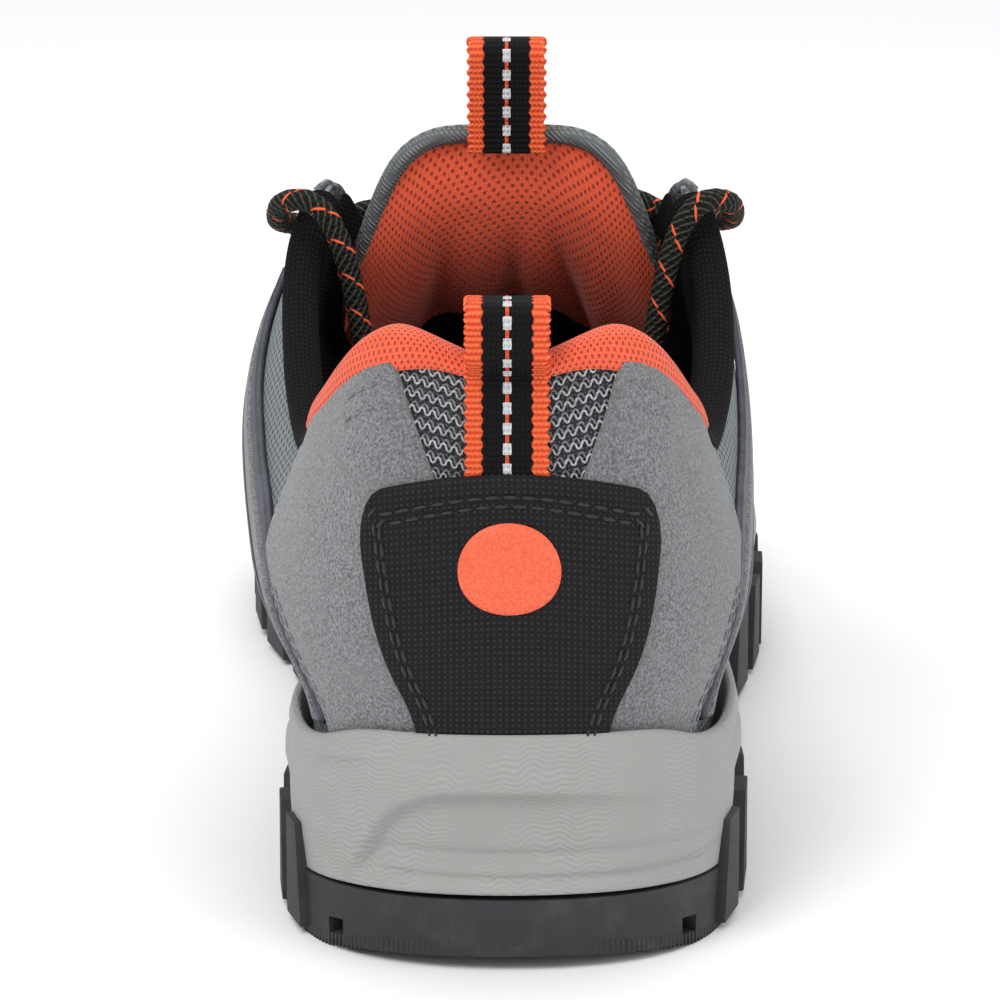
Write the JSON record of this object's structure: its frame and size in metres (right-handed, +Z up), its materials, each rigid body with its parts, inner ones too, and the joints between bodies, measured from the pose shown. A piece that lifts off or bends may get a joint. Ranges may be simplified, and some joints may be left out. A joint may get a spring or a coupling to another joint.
{
  "type": "low-cut hiking shoe",
  "caption": "Right-foot low-cut hiking shoe with lugged outsole, foam midsole, padded collar, tongue, pull loops and a lace run through webbing loops.",
  "frame": {"origin": "middle of the shoe in plan, on the ground under the tread", "axes": "+Z up, +Y from the heel towards the toe, +X towards the outer (lateral) side of the right foot"},
  "size_m": [0.1006, 0.2953, 0.1394],
  "materials": {
    "outsole_rubber": "moulded matt rubber",
    "midsole_foam": "fine wavy moulded foam",
    "shank_plastic": "moulded",
    "board": "pressed fibre board",
    "footbed_foam": "open-cell foam",
    "footbed_cloth": "knitted cloth",
    "stiffener": "thermoformed sheet",
    "chain_mesh": "silver-grey chain-stitch mesh",
    "quarter_mesh": "blue-grey spacer mesh",
    "lining": "black knit",
    "suede": "mid-grey brushed suede",
    "dark_film": "dark film",
    "bumper_rubber": "matt rubber",
    "patch": "fine dotted coated cloth",
    "badge": "orange moulded badge, plain",
    "orange_lining": "orange knit",
    "collar_knit": "black padded knit",
    "padding": "soft foam",
    "tongue_face": "grey mesh",
    "webbing": "black ribbed webbing with orange edges",
    "lace_loop_webbing": "black webbing",
    "eyelet_metal": "black enamel",
    "lace": "dark olive and black braid with orange flecks",
    "aglet": "clear-coated tip"
  },
  "bodies": {
    "shoe": {"aglet_lateral": "aglet", "aglet_medial": "aglet", "collar_foam": "padding", "collar_lining_heel": "orange_lining", "collar_lining_lateral": "collar_knit", "collar_lining_medial": "collar_knit", "diagonal_band_lateral": "dark_film", "diagonal_band_medial": "dark_film", "diagonal_strip_lateral": "dark_film", "diagonal_strip_medial": "dark_film", "diagonal_suede_lateral": "suede", "diagonal_suede_medial": "suede", "eyelet_lateral": "eyelet_metal", "eyelet_medial": "eyelet_metal", "eyestay_lateral": "suede", "eyestay_medial": "suede", "footbed_cloth": "footbed_cloth", "footbed_foam": "footbed_foam", "heel_badge": "badge", "heel_counter": "stiffener", "heel_lining": "lining", "heel_mesh_panel": "chain_mesh", "heel_overlay_lateral": "suede", "heel_overlay_medial": "suede", "heel_patch": "patch", "heel_pull_strap": "webbing", "lace_end_lateral": "lace", "lace_end_medial": "lace", "lace_laced": "lace", "lace_loops_lateral": "lace_loop_webbing", "lace_loops_medial": "lace_loop_webbing", "lasting_board": "board", "midfoot_overlay_lateral": "suede", "midfoot_overlay_medial": "suede", "midsole": "midsole_foam", "mudguard": "suede", "outsole": "outsole_rubber", "quarter_lining_lateral": "lining", "quarter_lining_medial": "lining", "quarter_mesh_lateral": "quarter_mesh", "quarter_mesh_medial": "quarter_mesh", "shank": "shank_plastic", "toe_bumper": "bumper_rubber", "toe_lining": "lining", "toe_puff": "stiffener", "vamp_lining_lateral": "lining", "vamp_lining_medial": "lining", "vamp_mesh": "quarter_mesh"},
    "tongue": {"tongue_face": "tongue_face", "tongue_foam": "padding", "tongue_lace_keeper": "webbing", "tongue_lining": "orange_lining"},
    "tongue_loop": {"tongue_pull_loop": "webbing"},
    "heel_loop": {"heel_pull_loop": "webbing"}
  },
  "joints": [
    {"name": "tongue_tilt", "type": "hinge", "parent": "shoe", "child": "tongue", "pos_m": [0, 0.0645, 0.048], "axis": [1, 0, 0], "range_deg": [0, 7]},
    {"name": "tongue_loop_fold", "type": "hinge", "parent": "tongue", "child": "tongue_loop", "pos_m": [0, -0.034, 0.1265], "axis": [1, 0, 0], "range_deg": [-35, 35]},
    {"name": "heel_loop_fold", "type": "hinge", "parent": "shoe", "child": "heel_loop", "pos_m": [0, -0.14, 0.1075], "axis": [1, 0, 0], "range_deg": [-30, 30]}
  ]
}
